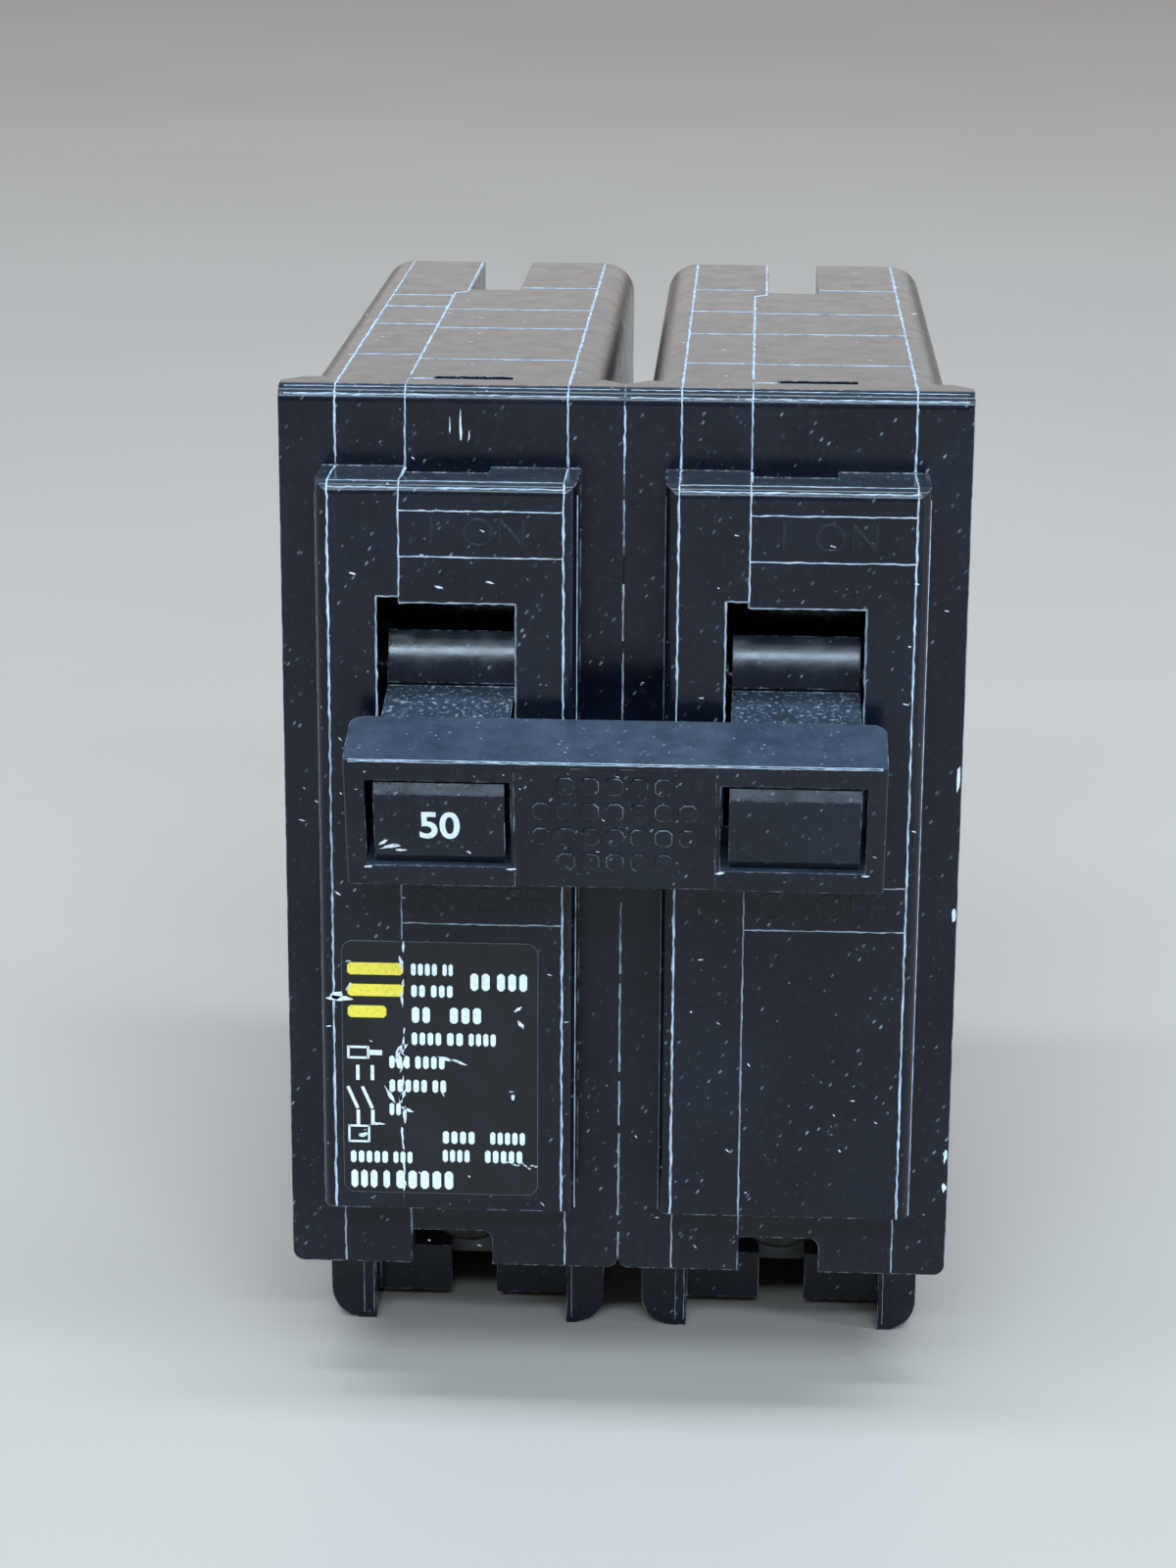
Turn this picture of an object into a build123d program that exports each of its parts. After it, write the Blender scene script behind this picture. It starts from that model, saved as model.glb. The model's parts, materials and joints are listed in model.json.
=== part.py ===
"""Two-pole plug-on circuit breaker, in millimetres.

+Z is up, towards the line end. +X is to the right and the handles face -Y.
Each pole is modelled from its own left edge (x), with depth y measured back from the face plate
and z measured up from the load end that the breaker stands on. save_pole() moves it to its place.
"""
import math
import os

from build123d import *

# ---- driving dimensions -------------------------------------------------------------------
MODULE = 25.4            # width of one pole
HEIGHT = 79.5
DEPTH = 63.5             # face plate to rear face
REACH = 14.7             # how far the handle tie stands in front of the face plate
MID = MODULE / 2

FACE_THICK = 2.2
FACE_BOTTOM = 10.3       # lower edge of the face plate
SIDE_GAP = 1.55          # the body is this much narrower than the face plate, on each side
CORNER = 2.6             # rounding of the body's long corners
SIDE_WALL = 1.8
END_WALL = 2.0
SEAM = 9.3               # the plane where cover and base meet

BOSS_LEFT = 3.2
BOSS_RIGHT = 22.2
BOSS_BOTTOM = 17.3
BOSS_TOP = 73.6
BOSS_RISE = 5.7
BOSS_ROUND = 0.95

PIVOT_Y = 8.0            # handle pivot
PIVOT_Z = 55.85
HANDLE_TILT = 14.5       # lever angle below horizontal at OFF
DRUM_R = 11.1
DRUM_HALF_ANGLE = 46.0
SHIELD_R = 8.0           # inner drum that closes the window beyond the outer drum's ends
SHIELD_HALF_ANGLE = 84.0
LEDGE_ANGLE = 25.5       # where the lever leaves the drum
LEVER_LENGTH = 22.3
SHOULDER = 15.7          # the lever's neck starts here
HANDLE_LEFT = 8.15
HANDLE_RIGHT = 17.55
TRUNNION_R = 2.2
RUNNING = 0.05           # radial clearance of every turning fit
ARM_PIN_REACH = 7.0      # arm pin's distance behind the handle pivot
ARM_PIN_R = 1.5

TIE_HALF_WIDTH = 19.35
TIE_HALF_HEIGHT = 5.2
TIE_BACK = 15.8
TIE_FRONT = 22.1
TIE_WINDOW = (10.4, 7.1)

WINDOW_LEFT = 7.6
WINDOW_RIGHT = 17.8
WINDOW_BOTTOM = 47.0
WINDOW_TOP = 64.7

POCKET_LEFT = 5.2        # wiring pocket at the load end
POCKET_RIGHT = 20.8
POCKET_BACK = 35.0
POCKET_TOP = 18.5
FLOOR = 20.5             # floor of the mechanism chamber
FOOT_FRONT = 11.9
LEFT_STOP = (POCKET_LEFT, 11.1)   # two blocks across the pocket's mouth, with a gap between
RIGHT_STOP = (14.85, POCKET_RIGHT)
STOP_SECTION = ((15.5, 18.7), (1.0, 5.0))

STAB_LEFT = 10.5         # slot for the panel's stab
STAB_RIGHT = 14.7
STAB_FRONT = 47.0
STAB_BOTTOM = 56.0
RAIL = (55.5, 60.0, 7.0)  # rail slot: front, back, height
VENT_X = (11.1, 17.0)    # vent slit in the line end, just behind the face plate
VENT_Y = (3.4, 4.6)

RIVETS = [(8.0, 73.0), (57.0, 48.0), (10.0, 26.0), (45.5, 10.5)]
RIVET_R = 1.5
RIVET_BOSS_R = 3.0
SPACER_R = 4.2
RIVET_HEAD = (2.9, 0.9)

SCREW_Z = 9.6            # terminal screw axis
SCREW_R = 3.6
WIRE_Y = 27.4            # wire hole axis
WIRE_R = 4.2

ARM_REACH = (26.0, 9.6)  # from the arm's pin to the moving contact at OFF: back, up
CONTACT_R = 1.4
SPRING_POST = 10.9       # the toggle spring's post, along the arm from its pin
SPRING_POST_R = 0.8
CRADLE_POST = (32.7, 45.0)

BAR_Y = 28.5             # common trip bar
BAR_Z = 27.0
BAR_R = 1.5
CRADLE_Y = 32.0          # cradle pivot
CRADLE_Z = 70.0
CRADLE_POST_R = 2.0
ARMATURE_Y = 36.6        # armature pivot
ARMATURE_Z = 46.0
ARMATURE_ROD_R = 0.9


# ---- helpers ------------------------------------------------------------------------------
def block(x, y, z):
    """A box between the two corners given as (low, high) pairs."""
    size = (x[1] - x[0], y[1] - y[0], z[1] - z[0])
    return Pos((x[0] + x[1]) / 2, (y[0] + y[1]) / 2, (z[0] + z[1]) / 2) * Box(*size)


def rod_x(x, y, z, radius):
    length = x[1] - x[0]
    return Pos((x[0] + x[1]) / 2, y, z) * Rot(0, 90, 0) * Cylinder(radius, length)


def rod_y(x, y, z, radius):
    length = y[1] - y[0]
    return Pos(x, (y[0] + y[1]) / 2, z) * Rot(90, 0, 0) * Cylinder(radius, length)


def rod_z(x, y, z, radius):
    return Pos(x, y, (z[0] + z[1]) / 2) * Cylinder(radius, z[1] - z[0])


def plate_x(points, x):
    """A flat plate of constant section: points are (y, z), x is its (low, high) span."""
    face = make_face(Polyline(*points, close=True))
    return extrude(Plane.YZ.offset(x[0]) * face, amount=x[1] - x[0])


def edges_at(shape, axis, **limits):
    """Edges along axis whose centres lie within the (low, high) limits given for X, Y or Z."""
    chosen = shape.edges().filter_by(axis)
    for name, (low, high) in limits.items():
        chosen = [e for e in chosen if low <= getattr(e.center(), name) <= high]
    return chosen


def lever_frame(shape):
    """Moves a shape modelled about the handle pivot, lever pointing to -Y, to its OFF place."""
    return Pos(0, PIVOT_Y, PIVOT_Z) * Rot(HANDLE_TILT, 0, 0) * shape


def turned(y, z):
    """Where a point behind the handle pivot, in the lever's frame, lies at OFF."""
    tilt = math.radians(HANDLE_TILT)
    return (PIVOT_Y + y * math.cos(tilt) - z * math.sin(tilt),
            PIVOT_Z + y * math.sin(tilt) + z * math.cos(tilt))


# ---- case ---------------------------------------------------------------------------------
def face_plate():
    plate = block((0, MODULE), (0, FACE_THICK), (FACE_BOTTOM, HEIGHT))
    plate = fillet(edges_at(plate, Axis.Y, Z=(FACE_BOTTOM - 0.1, FACE_BOTTOM + 0.1)), 0.9)
    plate = fillet(edges_at(plate, Axis.X, Y=(-0.1, 0.1), Z=(HEIGHT - 0.1, HEIGHT + 0.1)), 1.2)
    # the back of the plate slopes in to the narrower body
    gusset_depth = 1.6
    slope = Polyline((0.02, FACE_THICK), (MODULE - 0.02, FACE_THICK),
                     (MODULE - SIDE_GAP, FACE_THICK + gusset_depth),
                     (SIDE_GAP, FACE_THICK + gusset_depth), close=True)
    gusset = extrude(Plane.XY.offset(FACE_BOTTOM + 1) * make_face(slope),
                     amount=HEIGHT - FACE_BOTTOM - 1.0)
    return plate + gusset


def body_block():
    width = (SIDE_GAP, MODULE - SIDE_GAP)
    upper = block(width, (1.0, DEPTH), (FACE_BOTTOM, HEIGHT))
    upper = fillet(edges_at(upper, Axis.Y, Z=(HEIGHT - 0.1, HEIGHT + 0.1)), CORNER)
    lower = block(width, (FOOT_FRONT, DEPTH), (0, FACE_BOTTOM + 1))
    lower = fillet(edges_at(lower, Axis.Y, Z=(-0.1, 0.1)), CORNER)
    return upper + lower


def boss():
    solid = block((BOSS_LEFT, BOSS_RIGHT), (-BOSS_RISE, 1.0), (BOSS_BOTTOM, BOSS_TOP))
    front = (-BOSS_RISE - 0.1, -BOSS_RISE + 0.1)
    rounded = edges_at(solid, Axis.Z, Y=front)
    rounded += edges_at(solid, Axis.X, Y=front, Z=(BOSS_TOP - 0.1, BOSS_TOP + 0.1))
    solid = fillet(rounded, BOSS_ROUND)
    lower_ledge = block((SEAM, 15.6), (-3.9, 0), (BOSS_TOP - 0.45, BOSS_TOP + 1))
    return solid - lower_ledge


def side_recess(side):
    """A shallow panel moulded into the outside of a side wall."""
    depth = 0.4
    x = (SIDE_GAP - 1, SIDE_GAP + depth)
    if side == "base":
        x = (MODULE - SIDE_GAP - depth, MODULE - SIDE_GAP + 1)
    panel = block(x, (14.0, 51.0), (32.0, 67.0))
    return fillet(edges_at(panel, Axis.X), 3.0)


def chamber():
    """The mechanism's chamber, with the space for the handle's drum inside the boss."""
    rear = DEPTH - END_WALL
    points = [(FACE_THICK, FLOOR), (37.0, FLOOR), (37.0, END_WALL), (53.5, END_WALL),
              (53.5, 9.0), (rear, 9.0), (rear, HEIGHT - END_WALL),
              (FACE_THICK, HEIGHT - END_WALL)]
    inside = (SIDE_GAP + SIDE_WALL, MODULE - SIDE_GAP - SIDE_WALL)
    drum_space = block((7.3, 18.3), (1.8 - BOSS_RISE, FACE_THICK + 1), (44.0, 67.7))
    return plate_x(points, inside) + drum_space


def handle_window():
    window = block((WINDOW_LEFT, WINDOW_RIGHT), (-BOSS_RISE - 1, 0), (WINDOW_BOTTOM, WINDOW_TOP))
    cover_step = block((WINDOW_LEFT, SEAM), (-BOSS_RISE - 1, 0), (WINDOW_TOP - 1, WINDOW_TOP + 0.45))
    return window + cover_step


def wiring_pocket():
    pocket = block((POCKET_LEFT, POCKET_RIGHT), (FACE_THICK, POCKET_BACK), (-1, POCKET_TOP))
    for x in (LEFT_STOP, RIGHT_STOP):
        pocket -= block(x, *STOP_SECTION)
    strap_slot = block((13.3, 18.7), (33.3, POCKET_BACK), (POCKET_TOP - 1, FLOOR + 1))
    return pocket + strap_slot


def screwdriver_notch():
    notch = block((9.4, 15.6), (-1, FACE_THICK + 0.5), (FACE_BOTTOM - 1, FACE_BOTTOM + 2.8))
    corner = edges_at(notch, Axis.Y, X=(15.5, 15.7), Z=(FACE_BOTTOM + 2.7, FACE_BOTTOM + 2.9))
    return fillet(corner, 0.8)


def stab_slot():
    span = (STAB_LEFT, STAB_RIGHT)
    top = block(span, (STAB_FRONT, DEPTH + 1), (69.0, HEIGHT + 1))
    back = block(span, (DEPTH - END_WALL - 1, DEPTH + 1), (STAB_BOTTOM, HEIGHT + 1))
    return top + back


def stab_guides():
    """Ribs beside and before the stab slot, which hold the jaw and guide the stab."""
    z = (69.0, HEIGHT - 1)
    y = (STAB_FRONT - 1.2, DEPTH - 1)
    ribs = block((STAB_LEFT - 1.2, STAB_LEFT), y, z)
    ribs += block((STAB_RIGHT, STAB_RIGHT + 1.2), y, z)
    return ribs + block((STAB_LEFT - 1.2, STAB_RIGHT + 1.2), (STAB_FRONT - 1.2, STAB_FRONT), z)


def wall_bosses():
    """Round bosses inside the shell: rivet tubes, trunnion bearings, armature bearings."""
    left_wall = SIDE_GAP + SIDE_WALL / 2
    right_wall = MODULE - left_wall
    solids = []
    for y, z in RIVETS:
        solids.append(rod_x((left_wall, right_wall), y, z, RIVET_BOSS_R))
    solids.append(rod_x((left_wall, HANDLE_LEFT - 0.3), PIVOT_Y, PIVOT_Z, 4.2))
    solids.append(rod_x((HANDLE_RIGHT + 0.3, right_wall), PIVOT_Y, PIVOT_Z, 4.2))
    solids.append(rod_x((left_wall, SEAM), ARMATURE_Y, ARMATURE_Z, 2.2))
    solids.append(rod_x((20.4, right_wall), ARMATURE_Y, ARMATURE_Z, 2.2))
    solids.append(rod_x((19.8, right_wall), CRADLE_Y, CRADLE_Z, 3.4))
    solids.append(rod_x((17.4, right_wall), CRADLE_Y, CRADLE_Z, CRADLE_POST_R))
    return solids


def spacers():
    """Bosses that fill the gap between neighbouring poles round each rivet."""
    solids = []
    for y, z in RIVETS:
        solids.append(rod_x((0, SIDE_GAP + 0.5), y, z, SPACER_R))
        solids.append(rod_x((MODULE - SIDE_GAP - 0.5, MODULE), y, z, SPACER_R))
    return solids


def case_holes(inner_side):
    """Holes through the shell: rivets, their head recesses, bearings and the trip bar."""
    head_r, head_depth = RIVET_HEAD
    solids = []
    for y, z in RIVETS:
        solids.append(rod_x((-1, MODULE + 1), y, z, RIVET_R))
        outer = (-1, head_depth) if inner_side == "base" else (MODULE - head_depth, MODULE + 1)
        solids.append(rod_x(outer, y, z, head_r))
    solids.append(rod_x((4.4, 21.0), PIVOT_Y, PIVOT_Z, TRUNNION_R + RUNNING))
    solids.append(rod_x((7.6, 22.0), ARMATURE_Y, ARMATURE_Z, ARMATURE_ROD_R + RUNNING))
    bar_hole = (-1, 4.2) if inner_side == "cover" else (MODULE - 4.2, MODULE + 1)
    solids.append(rod_x(bar_hole, BAR_Y, BAR_Z, BAR_R + RUNNING))
    return solids


def case_halves(inner_side):
    """Both half shells of a pole. inner_side names the half that faces the other pole."""
    shell = face_plate() + body_block() + boss() + spacers()
    shell -= [side_recess("cover"), side_recess("base")]
    shell -= chamber()
    shell += wall_bosses()
    shell += stab_guides()
    shell -= [wiring_pocket(), handle_window(), screwdriver_notch(), stab_slot()]
    front, back, height = RAIL
    shell -= block((-1, MODULE + 1), (front, back), (-1, height))
    shell -= block(VENT_X, VENT_Y, (HEIGHT - END_WALL - 1, HEIGHT + 1))
    shell -= case_holes(inner_side)
    # the cover reaches past the seam beside the stab slot and at its block in the pocket
    tongue = block((SEAM, STAB_LEFT), (STAB_FRONT - 1.2, DEPTH + 1), (STAB_BOTTOM, HEIGHT + 1))
    cover_side = block((-1, SEAM), (-BOSS_RISE - 1, DEPTH + 1), (-1, HEIGHT + 1)) + tongue
    cover_side += block((SEAM - 1, LEFT_STOP[1]), *STOP_SECTION)
    return shell & cover_side, shell - cover_side


# ---- handle, tie and contacts -------------------------------------------------------------
def drum_sector(radius, half_angle):
    """A wedge of round bar about the handle pivot, facing forwards."""
    width = (HANDLE_LEFT, HANDLE_RIGHT)
    run = math.cos(math.radians(half_angle)) * 30.0
    rise = math.sin(math.radians(half_angle)) * 30.0
    wedge = plate_x([(0, 0), (-run, rise), (-30.0, rise), (-30.0, -rise), (-run, -rise)], width)
    return rod_x(width, 0, 0, radius) & wedge


def handle():
    width = (HANDLE_LEFT, HANDLE_RIGHT)
    drum = drum_sector(DRUM_R, DRUM_HALF_ANGLE) + drum_sector(SHIELD_R, SHIELD_HALF_ANGLE)
    ledge = DRUM_R * math.sin(math.radians(LEDGE_ANGLE))
    lever = plate_x([(-9.5, ledge - 0.35), (-SHOULDER, 4.85), (-SHOULDER, -4.85),
                     (-9.5, 0.35 - ledge)], width)
    # between the ledges the drum's face gives way to the lever
    drum -= block(width, (-DRUM_R - 1, -9.9), (-ledge, ledge))
    neck = plate_x([(-SHOULDER + 1, 3.3), (0.6 - LEVER_LENGTH, 3.3), (-LEVER_LENGTH, 2.5),
                    (-LEVER_LENGTH, -2.5), (0.6 - LEVER_LENGTH, -3.3), (-SHOULDER + 1, -3.3)],
                   width)
    hub = rod_x(width, 0, 0, 4.4)
    clevis = block(width, (0, ARM_PIN_REACH), (-2.6, 2.6))
    clevis += rod_x(width, ARM_PIN_REACH, 0, 2.6)
    clevis -= block((10.9, 14.5), (4.2, 12.0), (-5, 5))
    trunnions = rod_x((4.6, 20.8), 0, 0, TRUNNION_R)
    solid = drum + lever + neck + hub + clevis + trunnions
    solid -= rod_x((0, MODULE), ARM_PIN_REACH, 0, ARM_PIN_R)
    return lever_frame(solid)


def arm_pin():
    return lever_frame(rod_x((HANDLE_LEFT + 0.2, HANDLE_RIGHT - 0.2), ARM_PIN_REACH, 0, ARM_PIN_R))


def handle_tie():
    """The bar clipped over both handles. Its x is measured from the middle of the breaker."""
    width, height = TIE_WINDOW
    x = (-TIE_HALF_WIDTH, TIE_HALF_WIDTH)
    z = (-TIE_HALF_HEIGHT, TIE_HALF_HEIGHT)
    bar = block(x, (-TIE_FRONT, -TIE_BACK), z)
    bar = fillet(edges_at(bar, Axis.Z, Y=(-TIE_BACK - 0.1, -TIE_BACK + 0.1)), 1.2)
    bar = fillet(edges_at(bar, Axis.Z, Y=(-TIE_FRONT - 0.1, -TIE_FRONT + 0.1)), 0.3)
    for middle in (-MID + 0.05, MID + 0.05):
        window = block((middle - width / 2, middle + width / 2), (-30, 0), (-height / 2, height / 2))
        bar -= window
    panel = block((-7.2, 7.2), (-30, -TIE_FRONT + 0.15), (-TIE_HALF_HEIGHT - 1, TIE_HALF_HEIGHT - 0.45))
    return lever_frame(bar - panel)


def arm_frame(shape):
    """Moves a shape modelled about the arm's pin, blade pointing to +Y, to its OFF place."""
    lean = math.degrees(math.atan2(ARM_REACH[1], ARM_REACH[0]))
    return Pos(0, *turned(ARM_PIN_REACH, 0)) * Rot(lean, 0, 0) * shape


def contact_arm():
    """Steel blade from the handle's pin up to the moving contact."""
    x = (11.2, 14.2)
    length = math.hypot(*ARM_REACH)
    blade = plate_x([(0, -2.2), (8, -2.1), (length + 1.0, -1.9), (length + 1.0, 0.2),
                     (length - 3, 0.6), (length - 8, 1.4), (8, 2.2), (0, 2.3)], x)
    blade += rod_x(x, 0, 0, 2.4)
    blade += rod_x((x[1] - 0.5, 16.9), SPRING_POST, 0, SPRING_POST_R)
    blade -= rod_x((0, MODULE), 0, 0, ARM_PIN_R + RUNNING)
    return arm_frame(blade - rod_x((0, MODULE), length, 0, CONTACT_R))


def moving_contact():
    """Half-round silver contact brazed in the blade's tip."""
    return arm_frame(rod_x((11.2, 14.2), math.hypot(*ARM_REACH), 0, CONTACT_R))


def fixed_contact():
    return rod_z(MID, 36.5, (72.8, 74.2), 2.0)


def line_strap():
    """Copper strap from the fixed contact, down past the arc plates and back to the jaw."""
    points = [(33.4, 75.6), (45.6, 75.6), (45.6, 63.4), (49.6, 63.4), (49.6, 62.0),
              (44.2, 62.0), (44.2, 74.2), (33.4, 74.2)]
    return plate_x(points, (10.7, 14.7))


def line_jaw():
    """Two copper leaves and a web that grip the panel's stab."""
    jaw = block((11.6, 13.6), (49.6, 50.6), (58.0, 68.5))
    for side in (-1, 1):
        inner = 12.6 + side * 0.5
        outer = 12.6 + side * 1.1
        mouth = 12.6 + side * 1.9
        leaf = Polyline((inner, 49.6), (inner, 59.0), (mouth - side * 0.5, 61.2), (mouth, 61.2),
                        (outer, 58.7), (outer, 49.6), close=True)
        jaw += extrude(Plane.XY.offset(58.0) * make_face(leaf), amount=10.5)
    return jaw


def jaw_spring():
    """Steel clip that squeezes the jaw's leaves."""
    clip = block((10.8, 14.4), (48.8, 49.5), (64.2, 67.8))
    for x in ((10.8, 11.45), (13.75, 14.4)):
        clip += block(x, (48.8, 57.6), (64.2, 67.8))
    return clip


def arc_plates():
    plates = []
    for z in (64.4, 67.3, 70.2):
        frame = block((8.4, 17.0), (34.5, 44.1), (z, z + 1.0))
        plates.append(frame - block((10.3, 15.1), (30.0, 43.0), (z - 1, z + 2)))
    return plates


# ---- latch and trip -----------------------------------------------------------------------
def cradle():
    x = (18.0, 19.4)
    plate = plate_x([(28.6, 70.5), (29.6, 66.0), (30.6, 46.0), (31.8, 31.0), (34.2, 31.0),
                     (34.8, 46.0), (35.2, 66.0), (35.4, 70.5)], x)
    plate += rod_x(x, CRADLE_Y, CRADLE_Z, 3.4)
    plate += rod_x((15.5, x[0] + 0.5), *CRADLE_POST, SPRING_POST_R)
    return plate - rod_x((0, MODULE), CRADLE_Y, CRADLE_Z, CRADLE_POST_R + RUNNING)


def toggle_spring():
    """Tension spring from the arm's post to the cradle's post."""
    pin = turned(ARM_PIN_REACH, 0)
    share = SPRING_POST / math.hypot(*ARM_REACH)
    top = Vector(16.2, pin[0] + ARM_REACH[0] * share, pin[1] + ARM_REACH[1] * share)
    bottom = Vector(16.2, *CRADLE_POST)
    span = (bottom - top).length
    wire_r = 0.28
    loop_r = SPRING_POST_R + wire_r + 0.02
    coil_r = 1.1
    turns = 12
    leg = loop_r + 0.9
    coil_length = span - 2 * leg
    helix = Helix(pitch=coil_length / turns, height=coil_length, radius=coil_r, center=(0, 0, leg))
    start = helix @ 0
    coil = sweep(Plane(origin=start, z_dir=helix % 0) * Circle(wire_r), path=helix)
    parts = [coil]
    for z, sign in ((0, 1), (span, -1)):
        loop = Pos(0, 0, z) * Rot(0, 90, 0) * Torus(loop_r, wire_r)
        near = z + sign * loop_r
        hook_end = z + sign * leg
        wire = FilletPolyline((0, 0, near), (0, 0, hook_end), (coil_r, 0, hook_end), radius=0.4)
        hook = sweep(Plane(origin=wire @ 0, z_dir=wire % 0) * Circle(wire_r), path=wire)
        parts += [loop, hook]
    spring = parts[0]
    for piece in parts[1:]:
        spring += piece
    return Plane(origin=top, x_dir=(1, 0, 0), z_dir=(bottom - top).normalized()) * spring


def armature():
    x = (12.0, 20.0)
    plate = block(x, (36.0, 37.2), (29.0, ARMATURE_Z))
    plate += rod_x((8.0, 21.7), ARMATURE_Y, ARMATURE_Z, ARMATURE_ROD_R)
    latch = block((17.9, 19.6), (32.2, 37.0), (29.0, 30.5))
    tail = block((15.7, 17.5), (36.0, 37.2), (22.8, 29.5))
    return plate + latch + tail


def magnet_yoke():
    yoke = block((12.0, 20.0), (41.2, 42.4), (30.0, 43.5))
    for x in ((12.0, 13.1), (18.9, 20.0)):
        yoke += block(x, (39.0, 42.4), (30.0, 43.5))
    return yoke


def bimetal():
    return block((13.6, 18.4), (40.2, 41.2), (24.0, 51.0))


def load_strap():
    """Copper strap from the lug, through the pocket's roof and up behind the bimetal."""
    points = [(33.6, 4.0), (35.0, 4.0), (35.0, 20.6), (44.0, 20.6), (44.0, 51.0), (41.2, 51.0),
              (41.2, 46.5), (42.6, 46.5), (42.6, 22.0), (33.6, 22.0)]
    strap = plate_x(points, (13.5, 18.5))
    return strap - rod_y(16.0, (41.0, 45.0), 48.8, 1.2)


def calibration_screw():
    screw = rod_y(16.0, (41.25, 49.0), 48.8, 1.15)
    head = rod_y(16.0, (48.6, 50.4), 48.8, 2.0)
    return screw + head - block((15.7, 16.3), (49.8, 51.0), (45.0, 52.0))


def braid():
    """Flexible conductor from the contact arm's side to the foot of the bimetal."""
    route = [(10.1, 25.0, 60.6), (9.7, 28.0, 52.0), (9.6, 33.5, 41.5), (9.6, 36.0, 31.5),
             (11.2, 38.6, 26.6), (15.0, 39.2, 25.6)]
    radii = [6.0, 8.0, 8.0, 2.4]
    path = FilletPolyline(*route, radius=radii)
    return sweep(Plane(origin=path @ 0, z_dir=path % 0) * Circle(1.0), path=path)


# ---- wire terminal ------------------------------------------------------------------------
def terminal_lug():
    lug = block((6.6, 18.8), (19.0, 33.6), (3.0, 16.4))
    lug = chamfer(lug.edges().filter_by(Axis.Z), 0.8)
    lug -= rod_z(MID, WIRE_Y, (2, 18), WIRE_R)
    return lug - rod_y(MID, (18.0, 30.4), SCREW_Z, SCREW_R + RUNNING)


def lug_screw():
    screw = rod_y(MID, (14.0, 21.2), SCREW_Z, SCREW_R)
    screw = chamfer(screw.edges().filter_by(GeomType.CIRCLE), 0.35)
    screw += rod_y(MID, (21.0, 22.4), SCREW_Z, 1.5)
    slot = block((8, 18), (13.0, 15.6), (SCREW_Z - 0.55, SCREW_Z + 0.55))
    square = block((MID - 1.3, MID + 1.3), (13.0, 15.8), (SCREW_Z - 1.3, SCREW_Z + 1.3))
    return screw - slot - square


def pressure_pad():
    """Shoe riveted loosely on the screw's tip, so that it presses the wire without turning."""
    pad = rod_y(MID, (21.3, 22.9), SCREW_Z, 3.4)
    return pad - rod_y(MID, (21.0, 22.5), SCREW_Z, 1.5 + RUNNING)


# ---- shared pieces ------------------------------------------------------------------------
def trip_bar():
    """Bar through both poles, in the breaker's own x, with a two-armed crank in each pole."""
    bar = rod_x((-21.0, 21.0), BAR_Y, BAR_Z, BAR_R)
    for pole in (-MODULE, 0):
        x = (pole + 15.7, pole + 17.5)
        bar += rod_x(x, BAR_Y, BAR_Z, 2.6)
        bar += block(x, (BAR_Y - 0.9, BAR_Y + 0.9), (BAR_Z, BAR_Z + 7.0))
        bar += plate_x([(BAR_Y, BAR_Z + 0.5), (35.5, 25.2), (35.5, 23.2), (BAR_Y, BAR_Z - 2.4)], x)
    return bar


def case_rivets():
    """Four long rivets through both poles, with heads in the outermost bosses."""
    head_r, head_depth = RIVET_HEAD
    rivets = []
    for y, z in RIVETS:
        rivet = rod_x((head_depth - MODULE, MODULE - head_depth), y, z, RIVET_R)
        for x in ((0.15 - MODULE, head_depth - MODULE), (MODULE - head_depth, MODULE - 0.15)):
            rivet += rod_x(x, y, z, head_r - 0.1)
        rivets.append(rivet)
    return rivets


def rating_label():
    plate = block((4.75, 19.5), (-BOSS_RISE - 0.12, -BOSS_RISE), (18.6, 38.8))
    return fillet(edges_at(plate, Axis.Y), 0.9)


# ---- assembly -----------------------------------------------------------------------------
# the y of the face plate in the finished part, whose depth is centred on its origin
FACE_Y = (REACH - DEPTH) / 2


def save(name, shape, x=0.0):
    """Writes one node: a solid, or a list of separate solids as a group."""
    solids = shape if isinstance(shape, list) else [shape]
    placed = [Pos(x, FACE_Y, 0) * solid for solid in solids]
    export_step(placed[0] if len(placed) == 1 else Compound(placed), f"parts/{name}.step")


def save_pole(side, x, inner_side):
    cover, base = case_halves(inner_side)
    pieces = {
        "case_cover": cover, "case_base": base, "handle": handle(), "arm_pin": arm_pin(),
        "contact_arm": contact_arm(), "moving_contact": moving_contact(),
        "fixed_contact": fixed_contact(), "line_strap": line_strap(), "line_jaw": line_jaw(),
        "jaw_spring": jaw_spring(), "arc_plates": arc_plates(), "cradle": cradle(),
        "toggle_spring": toggle_spring(), "armature": armature(), "magnet_yoke": magnet_yoke(),
        "bimetal": bimetal(), "load_strap": load_strap(),
        "calibration_screw": calibration_screw(), "braid": braid(),
        "terminal_lug": terminal_lug(), "lug_screw": lug_screw(),
        "pressure_pad": pressure_pad(),
    }
    for name, shape in pieces.items():
        save(f"{side}_{name}", shape, x)


os.makedirs("parts", exist_ok=True)
save_pole("left", -MODULE, "base")
save_pole("right", 0.0, "cover")
save("handle_tie", handle_tie())
save("trip_bar", trip_bar())
save("case_rivets", case_rivets())
save("rating_label", rating_label(), -MODULE)
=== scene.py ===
"""Looks for the two-pole plug-on circuit breaker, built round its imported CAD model.

Everything is in metres in the model's own frame: +Z up, handles towards -Y. Places on a pole are
given as the CAD source gives them: x from the pole's left edge, y behind the face plate, z up from
the load end, all in millimetres.
"""
import json
import math
import random

import bmesh
import bpy
from mathutils import Matrix, Vector


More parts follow.
